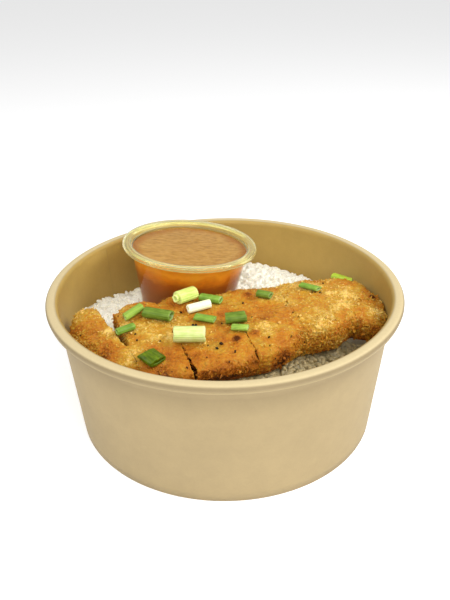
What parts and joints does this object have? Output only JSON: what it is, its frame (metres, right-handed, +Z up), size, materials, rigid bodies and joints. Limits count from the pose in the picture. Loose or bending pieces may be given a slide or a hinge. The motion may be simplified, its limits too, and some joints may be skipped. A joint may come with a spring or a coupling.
{
  "type": "chicken katsu rice bowl with sauce pot",
  "caption": "Round kraft paper takeaway bowl of rice with a sliced breaded cutlet, spring onion on top and a lidded pot of sauce.",
  "frame": {"origin": "centre of the bowl's foot, on the surface it stands on", "axes": "+Z up out of the bowl, -Y towards the diner, +X to the diner's right; the sauce pot is at the back left"},
  "size_m": [0.1846, 0.1846, 0.0854],
  "materials": {
    "kraft_paper": "smooth uncoated kraft board, faintly waxed inside",
    "rice": "moist steamed rice",
    "crust": "fried breadcrumb, rough and dry",
    "clear_plastic": "clear glossy thin plastic",
    "sauce": "thick smooth brown sauce",
    "onion_green": "fresh leaf, slightly waxy",
    "onion_dark_green": "fresh leaf, slightly waxy",
    "onion_pale": "fresh ribbed stalk",
    "onion_white": "fresh ribbed stalk"
  },
  "bodies": {
    "root": {"bowl_wall": "kraft_paper", "bowl_base": "kraft_paper", "rice": "rice", "katsu_slice_1": "crust", "katsu_slice_2": "crust", "katsu_slice_3": "crust", "katsu_slice_4": "crust", "katsu_slice_5": "crust", "katsu_slice_6": "crust", "sauce_pot": "clear_plastic", "pot_lid": "clear_plastic", "sauce": "sauce", "spring_onion_01": "onion_green", "spring_onion_02": "onion_dark_green", "spring_onion_03": "onion_green", "spring_onion_04": "onion_dark_green", "spring_onion_05": "onion_pale", "spring_onion_06": "onion_green", "spring_onion_07": "onion_white", "spring_onion_08": "onion_green", "spring_onion_09": "onion_pale", "spring_onion_10": "onion_dark_green", "spring_onion_11": "onion_green", "spring_onion_12": "onion_dark_green", "spring_onion_13": "onion_dark_green", "spring_onion_14": "onion_green"}
  },
  "joints": []
}
